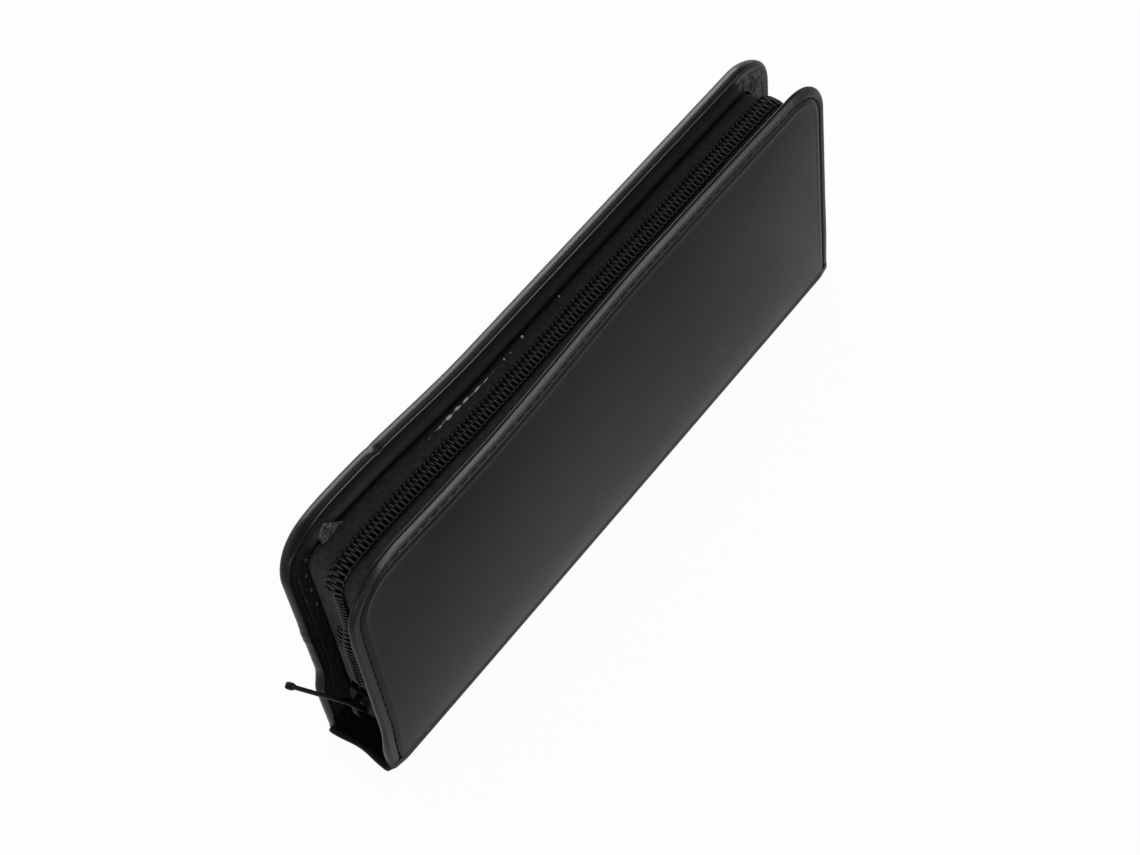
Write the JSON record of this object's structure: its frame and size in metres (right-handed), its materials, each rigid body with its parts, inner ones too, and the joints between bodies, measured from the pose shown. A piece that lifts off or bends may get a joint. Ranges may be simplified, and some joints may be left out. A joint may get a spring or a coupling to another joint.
{
  "type": "fountain pen case",
  "caption": "Slim zip-round pen case of black leather over stiff covers, with rounded corners at the coil zip, a slider with a long pull, elastic pen loops and a slip pocket inside.",
  "frame": {"origin": "middle of the underside of the spine, on the surface that the closed case stands on", "axes": "+X along the case away from the slider's end, -Y to the front cover, +Z from the spine up to the zip"},
  "size_m": [0.1821, 0.0196, 0.071],
  "materials": {
    "leather": "smooth satin black coated leather",
    "board": "grey-brown stiffening board",
    "foam": "thin dark foam",
    "lining": "fine woven black lining",
    "hem": "black ribbon binding",
    "elastic": "ribbed black elastic",
    "thread": "black sewing thread",
    "tape": "herringbone woven black zip tape",
    "coil": "black nylon monofilament",
    "slider": "black painted die casting",
    "pull": "black painted metal"
  },
  "bodies": {
    "spine": {"spine_leather": "leather", "spine_board": "board", "spine_lining": "lining"},
    "front_cover": {"front_pocket": "lining", "front_pocket_hem": "hem", "front_leather": "leather", "front_padding": "foam", "front_board": "board", "front_lining": "lining", "front_stitching": "thread", "front_zip_tape": "tape", "front_coil_near": "coil", "front_coil_top": "coil", "front_coil_far": "coil"},
    "back_cover": {"pen_band_near": "elastic", "pen_band_far": "elastic", "pen_band_tacks": "thread", "back_leather": "leather", "back_padding": "foam", "back_board": "board", "back_lining": "lining", "back_stitching": "thread", "back_zip_tape": "tape", "back_coil_near": "coil", "back_coil_top": "coil", "back_coil_far": "coil"},
    "slider": {"slider_body": "slider", "slider_bridge": "slider"},
    "pull": {"zip_pull": "pull"}
  },
  "joints": [
    {"name": "front_cover_hinge", "type": "hinge", "parent": "spine", "child": "front_cover", "pos_m": [0, -0.0098, 0], "axis": [1, 0, 0], "range_deg": [0, 90]},
    {"name": "back_cover_hinge", "type": "hinge", "parent": "spine", "child": "back_cover", "pos_m": [0, 0.0098, 0], "axis": [-1, 0, 0], "range_deg": [0, 90]},
    {"name": "slider_travel", "type": "slide", "parent": "back_cover", "child": "slider", "axis": [0, 0, 1], "range_m": [0, 0.037], "deforming": ["front_coil_near", "back_coil_near"]},
    {"name": "pull_swing", "type": "hinge", "parent": "slider", "child": "pull", "pos_m": [-0.0816, 0, 0.0155], "axis": [0, 1, 0], "range_deg": [-136, 22]}
  ]
}
